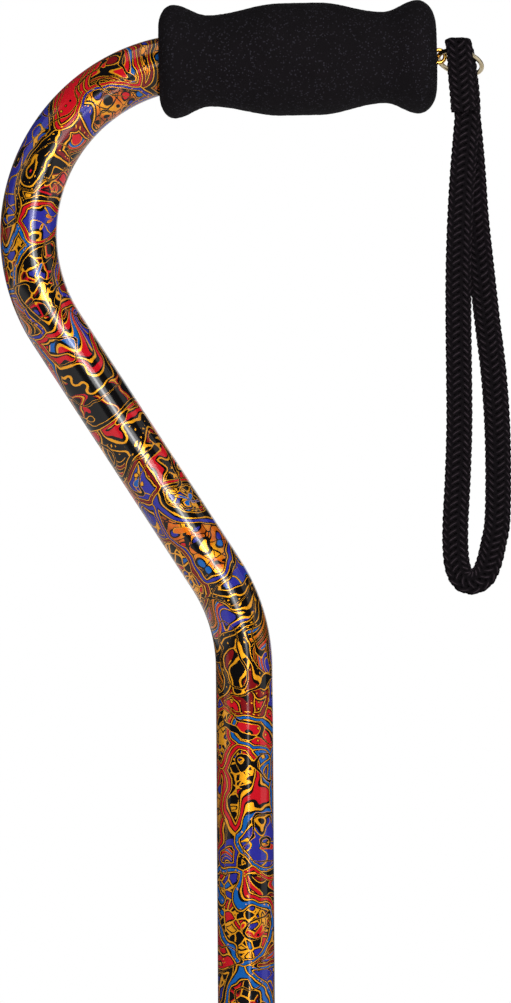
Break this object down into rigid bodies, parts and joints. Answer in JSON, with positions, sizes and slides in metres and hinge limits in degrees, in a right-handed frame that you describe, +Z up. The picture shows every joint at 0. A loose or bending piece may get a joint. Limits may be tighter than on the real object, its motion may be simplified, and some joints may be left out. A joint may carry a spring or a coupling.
{
  "type": "quad walking cane",
  "caption": "Height-adjustable offset-handle walking cane with a foam grip, braided wrist strap and four-footed base with rubber tips.",
  "frame": {"origin": "floor level, at the centre of the footprint of the four feet; the shaft stands 10 mm to the user's side of it", "axes": "+Z up along the shaft; +X towards the open end of the grip (backwards in use); +Y towards the outer side, away from the user, where the longer legs are"},
  "size_m": [0.2057, 0.152, 0.8602],
  "materials": {
    "patterned_tube": "gloss",
    "black_foam": "matte",
    "grey_plastic": "matte",
    "brass": "polished",
    "black_braid": "matte",
    "black_plastic": "satin",
    "white_plastic": "satin",
    "anodised_tube": "satin",
    "spring_steel": "satin",
    "steel": "satin",
    "black_tube": "satin",
    "hub_metal": "satin",
    "tip_rubber": "matte"
  },
  "bodies": {
    "base": {"lower_tube": "anodised_tube", "snap_spring": "spring_steel", "hub_socket": "hub_metal", "hub_clamp_plate": "hub_metal", "hub_bolts": "steel", "hub_nuts": "steel", "stem_bolt": "steel", "stem_nut": "steel", "leg_front": "black_tube", "leg_rear": "black_tube", "tip_front_inner": "tip_rubber", "tip_front_outer": "tip_rubber", "tip_rear_inner": "tip_rubber", "tip_rear_outer": "tip_rubber", "tip_washers": "steel"},
    "handle": {"handle_tube": "patterned_tube", "foam_grip": "black_foam", "grip_end_plug": "grey_plastic", "eye_screw": "brass", "threaded_ferrule": "black_plastic"},
    "collet": {"collet_ring": "white_plastic"},
    "nut": {"lock_nut": "black_plastic"},
    "button": {"snap_button": "steel"},
    "ring": {"strap_ring": "brass"},
    "strap": {"wrist_strap": "black_braid"}
  },
  "joints": [
    {"name": "height_adjust", "type": "slide", "parent": "base", "child": "handle", "axis": [0, 0, 1], "range_m": [-0.0762, 0.0762]},
    {"name": "button_press", "type": "slide", "parent": "base", "child": "button", "axis": [0, 1, 0], "range_m": [0, 0.0038], "stiffness_N_per_m": 900, "deforming": ["snap_spring"]},
    {"name": "nut_travel", "type": "slide", "parent": "handle", "child": "collet", "axis": [0, 0, 1], "range_m": [-0.0031, 0]},
    {"name": "nut_turn", "type": "hinge", "parent": "collet", "child": "nut", "pos_m": [0, -0.01, 0.24], "axis": [0, 0, 1], "range_deg": [-540, 0]},
    {"name": "ring_swing", "type": "hinge", "parent": "handle", "child": "ring", "pos_m": [0.0772, -0.01, 0.83822], "axis": [0, -1, 0], "range_deg": [-7, 28]},
    {"name": "strap_swing", "type": "hinge", "parent": "ring", "child": "strap", "pos_m": [0.0848, -0.01711, 0.83935], "axis": [1, 0, 0], "range_deg": [-60, 20]}
  ],
  "couplings": [
    {"joint": "nut_travel", "follows": "nut_turn", "m_per_rad": 0.00031831}
  ]
}
